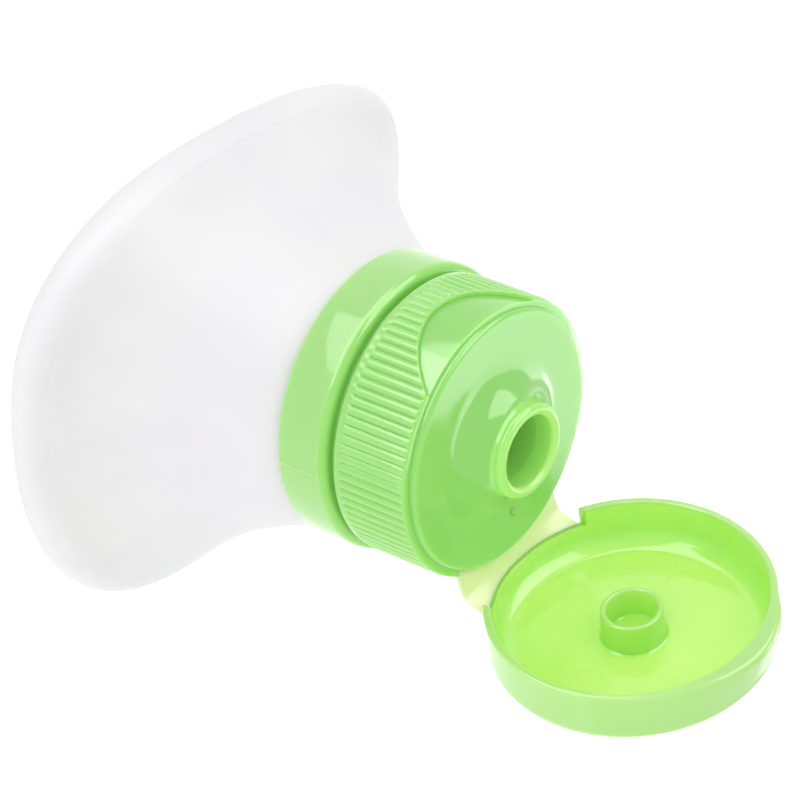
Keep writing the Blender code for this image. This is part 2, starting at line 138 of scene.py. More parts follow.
def make_silicone():
    """Milky silicone rubber, with clouds in its colour and a blasted grain."""
    material, tree, shader = new_material("milky silicone", {
        "IOR": 1.41, "Roughness": 0.55, "Subsurface Weight": 0.85, "Subsurface Scale": 2.2 * MM,
        "Subsurface Radius": (1.0, 0.95, 1.0)})
    place = add_node(tree, "ShaderNodeTexCoord", {}).outputs["Object"]
    cloud = add_node(tree, "ShaderNodeTexNoise", {"Vector": place, "Scale": 1.0 / CLOUD_SIZE, "Detail": 2.0})
    tint = add_node(tree, "ShaderNodeValToRGB", {"Fac": cloud.outputs["Fac"]})
    tint.color_ramp.elements[0].position = 0.35
    tint.color_ramp.elements[0].color = linear("#EBE9ED")
    tint.color_ramp.elements[1].position = 0.65
    tint.color_ramp.elements[1].color = linear("#F0EEF0")
    tree.links.new(tint.outputs["Color"], shader.inputs["Base Color"])
    grain = add_node(tree, "ShaderNodeTexNoise", {"Vector": place, "Scale": 1.0 / GRAIN_SIZE, "Detail": 2.0})
    bump = add_node(tree, "ShaderNodeBump", {"Height": grain.outputs["Fac"], "Strength": 0.25,
                                             "Distance": 0.02 * MM})
    tree.links.new(bump.outputs["Normal"], shader.inputs["Normal"])
    return material


silicone = make_silicone()
print("made", silicone.name)

# %% [markdown]
# ## Green polypropylene
#
# The collar, the cap, the lid and the film are polypropylene, the plastic of nearly all flip-top caps,
# because it can be bent thousands of times where it is thin. It is coloured through and lets light in by a
# millimetre or two. Each piece carries a number per vertex that picks from its three colours, and with it
# light is painted into the colour: 0 is a painted glow, brighter and yellower, as of light shining through a
# thin wall; 0.5 is the plastic's own colour where it is thick; 1 is painted pale light, a painted sheen at
# its edges, and the ribs and the collar's band are painted partway towards it. The steel was polished, and
# the surface is smooth and glossy with a faint ripple left by shrinkage, some millimetres long, and a fine
# orange peel.

# %% Polypropylene
RIPPLE_SIZE = 9.0 * MM
PEEL_SIZE = 0.6 * MM
THIN_GLOW, THICK, EDGE_SHEEN = 0.0, 0.5, 1.0


def make_polypropylene(name, painted_tones, depth, roughness):
    """Glossy moulded plastic in three tones: a painted glow where thin, its own colour, a painted pale sheen;
    depth is how far light goes in.
    """
    material, tree, shader = new_material(name, {
        "IOR": 1.49, "Subsurface Weight": 0.8, "Subsurface Scale": depth,
        "Subsurface Radius": (0.9, 1.0, 0.5)})
    place = add_node(tree, "ShaderNodeTexCoord", {}).outputs["Object"]
    flow = add_node(tree, "ShaderNodeTexNoise", {"Vector": place, "Scale": 1.0 / RIPPLE_SIZE, "Detail": 2.0,
                                                 "Roughness": 0.4})
    # This attribute paints light into the colour: a painted glow for thin walls and a painted pale sheen at
    # edges.
    painted_light = add_node(tree, "ShaderNodeAttribute", {}, attribute_name="painted_light")
    cloud = add_node(tree, "ShaderNodeMapRange", {"Value": flow.outputs["Fac"], **NOISE_SPAN,
                                                  "To Min": -0.04, "To Max": 0.04})
    share = add_node(tree, "ShaderNodeMath", {0: painted_light.outputs["Fac"], 1: cloud.outputs["Result"]},
                     operation="ADD", use_clamp=True)
    colour = add_node(tree, "ShaderNodeValToRGB", {"Fac": share.outputs[0]})
    stops = colour.color_ramp.elements
    stops.new(THICK)
    for stop, hex_colour in zip(stops, painted_tones):
        stop.color = linear(hex_colour)
    tree.links.new(colour.outputs["Color"], shader.inputs["Base Color"])
    gloss = add_node(tree, "ShaderNodeMapRange", {"Value": flow.outputs["Fac"], **NOISE_SPAN,
                                                  "To Min": roughness - 0.02, "To Max": roughness + 0.03})
    tree.links.new(gloss.outputs["Result"], shader.inputs["Roughness"])
    peel = add_node(tree, "ShaderNodeTexNoise", {"Vector": place, "Scale": 1.0 / PEEL_SIZE, "Detail": 1.0})
    fine = add_node(tree, "ShaderNodeBump", {"Height": peel.outputs["Fac"], "Strength": 0.12,
                                             "Distance": 0.01 * MM})
    soft = add_node(tree, "ShaderNodeBump", {"Height": flow.outputs["Fac"], "Strength": 0.15,
                                             "Distance": 0.1 * MM, "Normal": fine.outputs["Normal"]})
    tree.links.new(soft.outputs["Normal"], shader.inputs["Normal"])
    return material


def paint_light_and_shade(piece, painted_light_at):
    """Writes the painted light and shade of every vertex; the function given takes its place in mm."""
    painted_tones = piece.data.attributes.new("painted_light", "FLOAT", "POINT")
    for vertex, painted_light in zip(piece.data.vertices, painted_tones.data):
        painted_light.value = painted_light_at(vertex.co / MM)


# In each row of three colours, the first is a painted glow of light through thin walls, the middle is the
# plastic's own colour and the last is a painted pale sheen.
apple_green = make_polypropylene("apple green polypropylene", ("#BEF488", "#98DC70", "#AEE08C"),
                                 depth=1.8 * MM, roughness=0.09)
lime_green = make_polypropylene("lime green polypropylene", ("#CEFA88", "#A0D860", "#B4E08C"),
                                depth=2.0 * MM, roughness=0.09)
pale_film = make_polypropylene("pale polypropylene film", ("#E4F9C0", "#DDF7B4", "#E8FAC8"),
                               depth=1.5 * MM, roughness=0.3)
print("made", apple_green.name, lime_green.name, pale_film.name)

# %% [markdown]
# ## White sealing foam
#
# A thin washer of closed-cell polyethylene foam lies in the cap and seals it on the bottle's lip. It is
# cut from sheet: dull white, with cells about a third of a millimetre wide. It hardly shows, through the
# spout and when the cap is off, so the CAD solid keeps its shape and only gets the finish.

# %% Sealing washer
CELL_SIZE = 0.35 * MM


def make_foam():
    """Dull white foam whose cells show in its colour and its surface."""
    material, tree, shader = new_material("white polyethylene foam", {"IOR": 1.5, "Roughness": 0.8})
    place = add_node(tree, "ShaderNodeTexCoord", {}).outputs["Object"]
    cells = add_node(tree, "ShaderNodeTexVoronoi", {"Vector": place, "Scale": 1.0 / CELL_SIZE})
    tint = add_node(tree, "ShaderNodeValToRGB", {"Fac": cells.outputs["Distance"]})
    tint.color_ramp.elements[0].color = linear("#E2E4DE")
    tint.color_ramp.elements[1].color = linear("#F2F3EF")
    tree.links.new(tint.outputs["Color"], shader.inputs["Base Color"])
    bump = add_node(tree, "ShaderNodeBump", {"Height": cells.outputs["Distance"], "Strength": 0.5,
                                             "Distance": 0.05 * MM})
    tree.links.new(bump.outputs["Normal"], shader.inputs["Normal"])
    return material


foam = make_foam()
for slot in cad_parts["cap_seal"].material_slots:
    slot.material = foam
print("cap_seal is now", foam.name)

# %% [markdown]
# ## Helpers for shapes
#
# Nearly everything here was turned or moulded round an axis. A list of rings, each a closed row of points,
# is skinned with quads; a ring of one point closes an end. For a turned piece the rings are circles made
# from an outline of radius and height, and a function may add to the radius at some angles: that is how
# the ribs and the thumb lip are made. Only what cuts across the rings, such as a recess or a notch, is
# carved out afterwards with a Boolean.

# %% Pieces from rings
SHARP_ANGLE = math.radians(35.0)


def new_piece(name, work, material):
    """Turns a bmesh into a smooth-shaded piece with one material."""
    bmesh.ops.recalc_face_normals(work, faces=work.faces)
    mesh = bpy.data.meshes.new(name)
    work.to_mesh(mesh)
    work.free()
    mesh.shade_smooth()
    mesh.set_sharp_from_angle(angle=SHARP_ANGLE)
    mesh.materials.append(material)
    piece = bpy.data.objects.new(name, mesh)
    bpy.context.collection.objects.link(piece)
    return piece


def skin_rings(rings, closed):
    """Quads between rings of points; closed joins the last ring to the first."""
    work = bmesh.new()
    rows = [[work.verts.new(point) for point in ring] for ring in rings]
    pairs = list(zip(rows, rows[1:]))
    if closed:
        pairs.append((rows[-1], rows[0]))
    for low, high in pairs:
        for i in range(max(len(low), len(high))):
            j = i + 1
            corners = [low[i % len(low)], low[j % len(low)], high[j % len(high)], high[i % len(high)]]
            work.faces.new(list(dict.fromkeys(corners)))
    return work


def skin_bar(rings):
    """A solid bar: rings skinned one after the other, with both ends filled."""
    work = skin_rings(rings, closed=False)
    bmesh.ops.holes_fill(work, edges=work.edges)
    return work


print("edges sharper than", round(math.degrees(SHARP_ANGLE)), "degrees stay sharp")


# %% Turned shapes
def on_circle(radius, angle, z):
    """A point on a circle round the axis."""
    return Vector((radius * math.cos(angle), radius * math.sin(angle), z))


def turned_rings(outline, points, swell=None):
    """Rings for an outline of (radius, z) in mm. swell(angle, radius, z) in mm is added to the radius."""
    rings = []
    for radius, z in outline:
        if radius == 0.0:
            rings.append([Vector((0.0, 0.0, z * MM))])
            continue
        angles = [2.0 * math.pi * i / points for i in range(points)]
        more = [swell(a, radius, z) if swell else 0.0 for a in angles]
        rings.append([on_circle((radius + m) * MM, a, z * MM) for a, m in zip(angles, more)])
    return rings


def arc(r, z, radius, start, end, steps):
    """Outline points on a circle about (r, z), from start to end in degrees."""
    turns = [math.radians(start + (end - start) * i / steps) for i in range(steps + 1)]
    return [(r + radius * math.cos(a), z + radius * math.sin(a)) for a in turns]


print("an arc of 4 steps has", len(arc(0.0, 0.0, 1.0, 0.0, 90.0, 4)), "points")


# %% Carving
def new_block(name, x_ends, y_ends, z_ends, material):
    """A block to carve with, from its two ends in mm along each axis."""
    (front, back), (low, high) = y_ends, z_ends
    corners = [(front, low), (back, low), (back, high), (front, high)]
    return new_piece(name, skin_bar([[Vector((x, y, z)) * MM for y, z in corners] for x in x_ends]), material)


def carve(piece, cutter):
    """Cuts the cutter out of the piece for good, and removes the cutter."""
    modifier = piece.modifiers.new("carve", "BOOLEAN")
    modifier.operation = "DIFFERENCE"
    modifier.solver = "EXACT"
    modifier.object = cutter
    bpy.context.view_layer.update()
    whole = piece.evaluated_get(bpy.context.evaluated_depsgraph_get())
    mesh = bpy.data.meshes.new_from_object(whole)
    piece.modifiers.clear()
    piece.data = mesh
    bpy.data.objects.remove(cutter)
    print(piece.name, "has", len(mesh.polygons), "faces after a cut")


# %% [markdown]
# ## The soft bottle
#
# The bottle is a pebble shape: an oval base, a widest line that rises and falls round it like the brim of a
# hat, and flanks that sweep up to a round shoulder. It is a loft between two curves. Each ring is a
# superellipse, the squarer oval x^n + y^n = 1, that runs from a circle at the shoulder to about n = 3 at
# the rim. The mould closes on a line just above the rim, and leaves a fine groove all round there. A thin
# neck runs up through the collar to a lip that is folded over the collar's top.

# %% Bottle sizes
HALF_WIDTH = 36.85
HALF_DEPTH = 29.15
OVAL_TURN = math.radians(-10.9)
OVAL_POWER = 3.05
OVAL_POINTS = 176
SQUARING = 1.3
RIM_LOW, RIM_AT_ENDS, RIM_AT_SIDES, RIM_AT_CORNERS = 4.1, 1.4, 3.9, 0.9
RIM_ROUND = 0.115
FOOT_SHARE = 0.515
BASE_POWER = 1.49
FLARE_WIDTH = (0.21, 0.25)
FLARE_DEPTH = (0.09, 0.2)
PARTING_LINE = [(0.84, 0.0), (0.87, 0.11), (0.90, 0.0)]
WALL = 1.8
SHOULDER_Z = 30.5
SHOULDER_RADIUS = 17.0
NECK_RADIUS = 13.0
NECK_BORE = 11.4
LIP_RADIUS = 14.4
LIP_THICKNESS = 1.2
LIP_TOP_Z = 46.6
print("the bottle is", 2 * HALF_WIDTH, "by", 2 * HALF_DEPTH, "mm before its oval is turned")


# %% Bottle curves
def grow(share, handles):
    """A cubic from 0 to 1 with its two inner handles."""
    rest = 1.0 - share
    return 3 * rest * rest * share * handles[0] + 3 * rest * share * share * handles[1] + share ** 3


def oval(power):
    """Points of a unit superellipse."""
    points = []
    for i in range(OVAL_POINTS):
        angle = 2.0 * math.pi * i / OVAL_POINTS
        c, s = math.cos(angle), math.sin(angle)
        points.append((math.copysign(abs(c) ** (2.0 / power), c), math.copysign(abs(s) ** (2.0 / power), s)))
    return points


def turn_oval(x, y, z):
    """A point in mm, turned as the oval is turned against the hinge."""
    c, s = math.cos(OVAL_TURN), math.sin(OVAL_TURN)
    return Vector((x * c - y * s, x * s + y * c, z)) * MM


def rim_z(u, v):
    """The height of the widest line at a point of the unit oval."""
    return RIM_LOW + RIM_AT_ENDS * u * u + RIM_AT_SIDES * v * v + RIM_AT_CORNERS * (2.0 * u * v) ** 2


print("the widest line is", rim_z(1.0, 0.0), "mm up at the ends and", rim_z(0.0, 1.0), "mm at the sides")


# %% Bottle rings
def flank_ring(share, inset):
    """The side of the bottle: share 0 is the shoulder, 1 the widest line."""
    power = 2.0 + (OVAL_POWER - 2.0) * min(1.0, SQUARING * share)
    top_radius = SHOULDER_RADIUS - inset
    top_z = SHOULDER_Z - inset
    width = top_radius + (HALF_WIDTH - inset - top_radius) * grow(share, FLARE_WIDTH)
    depth = top_radius + (HALF_DEPTH - inset - top_radius) * grow(share, FLARE_DEPTH)
    return [turn_oval(width * u, depth * v, top_z + (rim_z(u, v) - top_z) * share) for u, v in oval(power)]


def base_ring(share, inset):
    """The underside: share 0 is the edge of the flat foot, 1 the widest line."""
    scale = FOOT_SHARE + (1.0 - FOOT_SHARE) * share
    lift = 1.0 - (1.0 - share ** BASE_POWER) ** (1.0 / BASE_POWER)
    width = (HALF_WIDTH - inset) * scale
    depth = (HALF_DEPTH - inset) * scale
    points = oval(OVAL_POWER)
    return [turn_oval(width * u, depth * v, inset + (rim_z(u, v) - inset) * lift) for u, v in points]


def bottle_rings(inset, fine, crease=()):
    """The skin from the middle of the base to the shoulder, moved in by inset; crease is the parting line."""
    edge = 1.0 - RIM_ROUND
    rings = [[Vector((0.0, 0.0, inset * MM))]]
    rings += [base_ring(edge * step / (4 * fine), inset) for step in range(4 * fine + 1)]
    below, corner, above = rings[-1], flank_ring(1.0, inset), flank_ring(edge, inset)
    for t, depth in sorted([(step / (3 * fine), 0.0) for step in range(1, 3 * fine)] + list(crease)):
        inward = [((a + c) / 2.0 - b).normalized() * (depth * MM) for a, b, c in zip(below, corner, above)]
        round_rim = [a.lerp(b, t).lerp(b.lerp(c, t), t) for a, b, c in zip(below, corner, above)]
        rings.append([point + shift for point, shift in zip(round_rim, inward)])
    rings += [flank_ring(edge * (1.0 - step / (8 * fine)), inset) for step in range(8 * fine + 1)]
    return rings


print("the inside of the bottle has", len(bottle_rings(WALL, 2)), "rings")


# %% Bottle
def neck_outline():
    """Up the outside of the neck, over the folded lip and down the bore to the inside of the shoulder."""
    half = LIP_THICKNESS / 2
    outside = [(NECK_RADIUS, SHOULDER_Z + 0.1), (NECK_RADIUS, LIP_TOP_Z - LIP_THICKNESS)]
    lip = arc(LIP_RADIUS - half, LIP_TOP_Z - half, half, -90.0, 90.0, 8)
    bore = arc(NECK_BORE + 0.4, LIP_TOP_Z - 0.4, 0.4, 90.0, 180.0, 4)
    return outside + lip + bore + [(NECK_BORE, SHOULDER_Z - WALL)]


def make_bottle():
    """One closed skin: the outside, the neck with its lip, and the inside."""
    rings = bottle_rings(0.0, 4, PARTING_LINE)
    for radius, z in neck_outline():
        rings.append([turn_oval(radius * u, radius * v, z) for u, v in oval(2.0)])
    rings += bottle_rings(WALL, 2)[::-1]
    bottle = new_piece("silicone_bottle", skin_rings(rings, closed=False), silicone)
    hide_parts("bottle_body")
    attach(bottle, "bottle")
    return bottle


bottle = make_bottle()
print("bottle:", len(bottle.data.polygons), "faces")

# %% [markdown]
# ## The threaded collar
#
# The collar is a hard ring in the soft neck. Below is a plain band with a rounded upper edge, which fills
# the gap under the cap; above, hidden under the cap, is the screw thread, a ridge wound one and a quarter
# turns round. The mould's two halves meet along the band and leave a hair-fine upright seam.

# %% Screw thread
THREAD_LEAD = 3.175
THREAD_ROOT_WIDTH = 1.9
THREAD_CREST_WIDTH = 1.1
STEPS_PER_TURN = 90


def ridge(root, crest, start_z, start_angle, turns):
    """A helical thread ridge that stands between two radii, in mm."""
    half_root, half_crest = THREAD_ROOT_WIDTH / 2, THREAD_CREST_WIDTH / 2
    corners = [(root, -half_root), (crest, -half_crest), (crest, half_crest), (root, half_root)]
    steps = round(STEPS_PER_TURN * turns)
    rings = []
    for i in range(steps + 1):
        share = turns * i / steps
        angle = start_angle + 2.0 * math.pi * share
        z = start_z + THREAD_LEAD * share
        rings.append([on_circle(radius * MM, angle, (z + side) * MM) for radius, side in corners])
    return skin_bar(rings)


print("the thread rises", THREAD_LEAD, "mm a turn")

# %% Collar sizes
COLLAR_RADIUS = 18.05
COLLAR_BORE = 13.3
COLLAR_FOOT_Z = 30.8
COLLAR_POINTS = 720
BAND_TOP_Z = 37.7
BAND_ROUND = 1.1
SMALL_ROUND = 0.3
CREVICE_RADIUS = 16.2
TUBE_RADIUS = 14.6
TUBE_TOP_Z = 45.1
SEAM_ANGLE = math.radians(-7.5)
SEAM_PROUD = 0.08
SEAM_HALF_WIDTH = 0.2
print("the collar's band is", 2 * COLLAR_RADIUS, "mm across and its seam", 2 * SEAM_HALF_WIDTH, "mm wide")


# %% Collar
def collar_outline():
    """Out along the foot, up the band, over its round edge, in along the crevice and up the tube."""
    outline = [(COLLAR_BORE, COLLAR_FOOT_Z), (COLLAR_RADIUS - SMALL_ROUND, COLLAR_FOOT_Z)]
    outline += arc(COLLAR_RADIUS - SMALL_ROUND, COLLAR_FOOT_Z + SMALL_ROUND, SMALL_ROUND, -90.0, 0.0, 4)[1:]
    outline += arc(COLLAR_RADIUS - BAND_ROUND, BAND_TOP_Z - BAND_ROUND, BAND_ROUND, 0.0, 90.0, 12)
    outline += arc(CREVICE_RADIUS + SMALL_ROUND, BAND_TOP_Z + SMALL_ROUND, SMALL_ROUND, 270.0, 180.0, 4)
    outline += [(15.9, 38.3), (14.8, 38.35), (TUBE_RADIUS, 38.5), (TUBE_RADIUS, TUBE_TOP_Z - 0.4)]
    return outline + [(TUBE_RADIUS - 0.4, TUBE_TOP_Z), (COLLAR_BORE, TUBE_TOP_Z)]


def seam_swell(angle, radius, z):
    """How far the moulding seam stands proud of the band: most in its middle, nothing beside it."""
    away = abs(math.remainder(angle - SEAM_ANGLE, math.pi)) * radius
    on_band = radius > COLLAR_RADIUS - BAND_ROUND - SMALL_ROUND
    return SEAM_PROUD * max(0.0, 1.0 - away / SEAM_HALF_WIDTH) if on_band else 0.0


def make_collar():
    """The turned collar and its thread; band painted pale as light, its round and above deeper as painted
    shade.
    """
    rings = turned_rings(collar_outline(), COLLAR_POINTS, seam_swell)
    collar = new_piece("collar_band", skin_rings(rings, closed=True), apple_green)
    # Painted light: the band is painted pale as if more light fell on it, and the round edge and all above it
    # are a deeper green, as painted shade.
    paint_light_and_shade(collar, lambda place: 0.88 if place.z < BAND_TOP_Z - 0.7 else 0.4)
    work = ridge(root=TUBE_RADIUS - 0.2, crest=15.6, start_z=39.8, start_angle=0.0, turns=1.25)
    thread = new_piece("collar_thread", work, apple_green)
    paint_light_and_shade(thread, lambda place: THICK)
    for piece in (collar, thread):
        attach(piece, "bottle")
    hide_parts("threaded_collar")
    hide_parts("threaded_collar")
    return collar


collar = make_collar()
print("collar:", len(collar.data.polygons), "faces")

# %% [markdown]
# ## The ribbed cap
#
# The cap is one moulding: a skirt with ninety grip ribs, a narrow ledge that the closed lid rests on, and a
# round deck that rises in a soft cone to the spout. The ribs are wide and rounded with narrow grooves
# between them. They are made by taking a little off the radius at each groove; eight points to a rib keep
# them round. A thumb recess at the front and the gap for the hinge are cut afterwards.

# %% Cap sizes
FRONT = -0.5 * math.pi
RIBS = 90
RIB_DEPTH = 0.32
RIB_POWER = 2.2
POINTS_PER_RIB = 8
CAP_RADIUS = 17.5
CAP_BORE = 16.0
SKIRT_Z = 38.7
LEDGE_Z = 49.25
DECK_Z = 50.0
DECK_RADIUS = 16.3
DECK_ROUND = 0.55
CONE_RADIUS = 11.2
CONE_HEIGHT = 3.9
CONE_STEPS = 24
SPOUT_RADIUS = 5.95
SPOUT_ROUND = 0.75
SPOUT_Z = 54.65
BORE_RADIUS = 4.45
SLEEVE_Z = 45.1
CEILING_Z = 48.4
RECESS_RADIUS = 16.9
RECESS_HALF_WIDTH = 11.1
RECESS_HEIGHT = 6.05
RECESS_STEPS = 64
OUTSIDE = 18.6
print("a rib every", round(2.0 * math.pi * CAP_RADIUS / RIBS, 2), "mm")


# %% Ribs and recess
def clamp(value):
    """The value kept between 0 and 1."""
    return min(1.0, max(0.0, value))


def recess_edge(angle):
    """The height of the thumb recess's lower edge, a parabola on the skirt."""
    share = math.remainder(angle - FRONT, 2.0 * math.pi) * CAP_RADIUS / RECESS_HALF_WIDTH
    return LEDGE_Z - max(0.0, RECESS_HEIGHT * (1.0 - share * share))


def rib_groove(angle, radius, z):
    """How deep the groove is here: nothing on the smooth strips, the deck and the inside."""
    if radius < CAP_RADIUS - 0.5 or z > LEDGE_Z - 0.05:
        return 0.0
    fade_in = clamp((z - SKIRT_Z - 0.75) / 0.35)
    fade_out = clamp((recess_edge(angle) - 0.1 - z) / 0.3)
    phase = (angle * RIBS / (2.0 * math.pi)) % 1.0
    return -RIB_DEPTH * fade_in * fade_out * abs(2.0 * phase - 1.0) ** RIB_POWER


print("the recess reaches", round(LEDGE_Z - recess_edge(FRONT), 2), "mm down from the ledge")


# %% Cap outline
def cap_outline():
    """Bottom edge, skirt, ledge, deck, cone, spout, the bore with the sleeve below it, and the ceiling."""
    skirt = [(CAP_BORE, SKIRT_Z + 0.3), (CAP_BORE + 0.3, SKIRT_Z), (17.2, SKIRT_Z)]
    skirt += arc(17.2, SKIRT_Z + 0.2, 0.2, -90.0, 0.0, 3)[1:]
    skirt += [(17.4, SKIRT_Z + 0.75), (17.45, SKIRT_Z + 0.95), (CAP_RADIUS, SKIRT_Z + 1.15)]
    skirt += [(CAP_RADIUS, SKIRT_Z + 1.25 + 0.3 * i) for i in range(28)]
    ledge = [(CAP_RADIUS, LEDGE_Z - 0.8), (CAP_RADIUS, LEDGE_Z - 0.55), (17.46, LEDGE_Z - 0.35)]
    ledge += [(17.4, LEDGE_Z - 0.2), (17.3, LEDGE_Z - 0.08), (17.1, LEDGE_Z)]
    ledge += [(DECK_RADIUS + 0.25, LEDGE_Z), (DECK_RADIUS + 0.05, LEDGE_Z + 0.05)]
    deck = arc(DECK_RADIUS - DECK_ROUND, DECK_Z - DECK_ROUND, DECK_ROUND, 0.0, 90.0, 8)
    deck += [(15.0, DECK_Z), (13.0, DECK_Z)]
    cone = []
    for i in range(CONE_STEPS + 1):
        turn = 0.5 * math.pi * i / CONE_STEPS
        radius = CONE_RADIUS - (CONE_RADIUS - SPOUT_RADIUS) * math.sin(turn)
        cone.append((radius, DECK_Z + CONE_HEIGHT * (1.0 - math.cos(turn))))
    lip = arc(SPOUT_RADIUS - SPOUT_ROUND, SPOUT_Z - SPOUT_ROUND, SPOUT_ROUND, 0.0, 180.0, 16)[1:]
    bore = [(BORE_RADIUS, DECK_Z + 2.9), (BORE_RADIUS, DECK_Z + 1.9), (BORE_RADIUS - 0.02, DECK_Z + 1.75)]
    bore += [(BORE_RADIUS - 0.05 - 0.1 * i, DECK_Z + 0.8 - i) for i in range(6)]
    sleeve = [(4.1, SLEEVE_Z), (4.5, SLEEVE_Z), (4.7, SLEEVE_Z + 0.2), (4.9, CEILING_Z)]
    ceiling = [(14.8, CEILING_Z), (CAP_BORE, CEILING_Z - 1.76)]
    return skirt + ledge + deck + cone + lip + bore + sleeve + ceiling


print("the cap's outline has", len(cap_outline()), "points")

# %% Cap cutters
GAP_HALF_WIDTH = 10.1
GAP_WALL_RADIUS = 16.4
GATE_PLACE = Vector((-0.1, 11.2, DECK_Z))


def thumb_recess():
    """A curved panel above the parabola, from the recess's floor to outside the cap."""
    rings = []
    for i in range(RECESS_STEPS + 1):
        angle = FRONT + RECESS_HALF_WIDTH / CAP_RADIUS * (2.0 * i / RECESS_STEPS - 1.0)
        low, high = recess_edge(angle), LEDGE_Z + 1.0
        corners = [(RECESS_RADIUS, low), (OUTSIDE, low - 0.1), (OUTSIDE, high), (RECESS_RADIUS, high)]
        rings.append([on_circle(r * MM, angle, z * MM) for r, z in corners])
    return new_piece("thumb_recess", skin_bar(rings), apple_green)


def hinge_gap():
    """What the ledge leaves free on both sides of the hinge: a block less the round wall behind it."""
    block = new_block("hinge_gap", (-GAP_HALF_WIDTH, GAP_HALF_WIDTH), (CAP_RADIUS / 2, OUTSIDE),
                      (LEDGE_Z - 1.0, DECK_Z - 0.1), apple_green)
    outline = [(0.0, 40.0), (GAP_WALL_RADIUS, 40.0), (GAP_WALL_RADIUS, 55.0), (0.0, 55.0)]
    carve(block, new_piece("gap_wall", skin_rings(turned_rings(outline, 240), closed=False), apple_green))
    return block


def gate_mark():
    """The nub that is left on the deck behind the spout, where the plastic ran into the mould."""
    work = bmesh.new()
    bmesh.ops.create_uvsphere(work, u_segments=24, v_segments=12, radius=1.0)
    for vertex in work.verts:
        x, y, z = vertex.co
        vertex.co = (GATE_PLACE + Vector((0.45 * x - 0.2 * y, 0.8 * y, 0.22 * z))) * MM
    return new_piece("deck_gate_mark", work, apple_green)


print("the gate mark lies", round(GATE_PLACE.y, 1), "mm behind the axis")


# %% Cap
def cap_painted_light(place):
    """The spout and its bore are painted bright as a glow through the thin wall, less lower down; ribs
    painted paler as a sheen; the rest is thick.
    """
    if place.xy.length < 5.0:
        # Painted glow of light through the thin spout, with a less bright band lower in the bore that paints
        # the edge of its shade.
        return THIN_GLOW if place.z > DECK_Z + 1.8 else 0.2
    if place.z > DECK_Z + 3.0:
        # The top of the cone is painted a little brighter, a painted glow of light through the thin spout.
        return 0.25
    # The ribs are painted paler, a painted sheen.
    return 0.65 if place.z < LEDGE_Z - 0.3 and place.xy.length > RECESS_RADIUS + 0.05 else THICK


def make_cap():
    """The turned cap, less its recess and its hinge gap, with its thread and gate mark."""
    rings = turned_rings(cap_outline(), POINTS_PER_RIB * RIBS, rib_groove)
    cap = new_piece("ribbed_cap", skin_rings(rings, closed=True), apple_green)
    carve(cap, thumb_recess())
    carve(cap, hinge_gap())
    cap.data.set_sharp_from_angle(angle=SHARP_ANGLE)
    paint_light_and_shade(cap, cap_painted_light)
    thread = ridge(root=CAP_BORE + 0.2, crest=15.0, start_z=40.0, start_angle=math.radians(200.0), turns=1.0)
    details = [new_piece("cap_inner_thread", thread, apple_green), gate_mark()]
    for detail in details:
        paint_light_and_shade(detail, lambda place: THICK)
    for piece in [cap] + details:
        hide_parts("cap")
        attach(piece, "screw_cap")
    return cap


cap = make_cap()
print("cap:", len(cap.data.polygons), "faces")

# %% [markdown]
# ## The flip lid
#
# The lid is a shallow cup with a wall one millimetre thick. It is built as it lies closed, its rim down at
# z = 0 and its plug in the middle, and is then turned about the hinge to where it hangs open. The plug is
# a short tube that closes the spout. The front of the wall swells into a thumb lip, and a notch in the
# rim lets the hinge film through. Two pins of the mould pushed the lid out, and left round prints, hardly
# deeper than a hair is thick, in its floor.

# %% Lid sizes
LID_RADIUS = 17.55
LID_HEIGHT = 7.0
LID_FLOOR = 6.05
LID_WALL = 1.0
LID_POINTS = 288
CROWN_ROUND = 1.5
LID_RIM_ROUND = 0.35
LID_FILLET = 2.7
PLUG_TIP = 2.0
PLUG_TIP_ROUND = 0.3
NOTCH_ENDS = (-9.6, 10.1)
NOTCH_DEPTH = 2.5
THUMB_ANGLE = math.radians(33.0)
THUMB_PROUD = 1.4
THUMB_Z = 0.9
THUMB_RUN = 4.6
EJECTOR_MARKS = (-10.0, 9.7)
EJECTOR_RADIUS = 2.0
EJECTOR_DEPTH = 0.07
LID_CENTRE = Vector((0.0, 17.43, 66.54)) * MM
LID_OPENS = Vector((0.0, -0.9995, 0.0314)).normalized()
LID_TO_HINGE = Vector((0.0, -0.0314, -0.9995)).normalized()
print("the lid is open by", round(math.degrees(LID_OPENS.angle(Vector((0.0, 0.0, -1.0)))), 1), "degrees")


# %% Lid shape
def thumb_lip(angle, radius, z):
    """How far the lid's outer wall swells at the front."""
    from_front = abs(math.remainder(angle - FRONT, 2.0 * math.pi)) / THUMB_ANGLE
    if radius < LID_RADIUS - 0.55 or from_front > 1.0:
        return 0.0
    height = 0.75 + 0.25 * z / THUMB_Z if z < THUMB_Z else max(0.0, 1.0 - (z - THUMB_Z) / THUMB_RUN)
    return THUMB_PROUD * (1.0 - from_front * from_front) * height


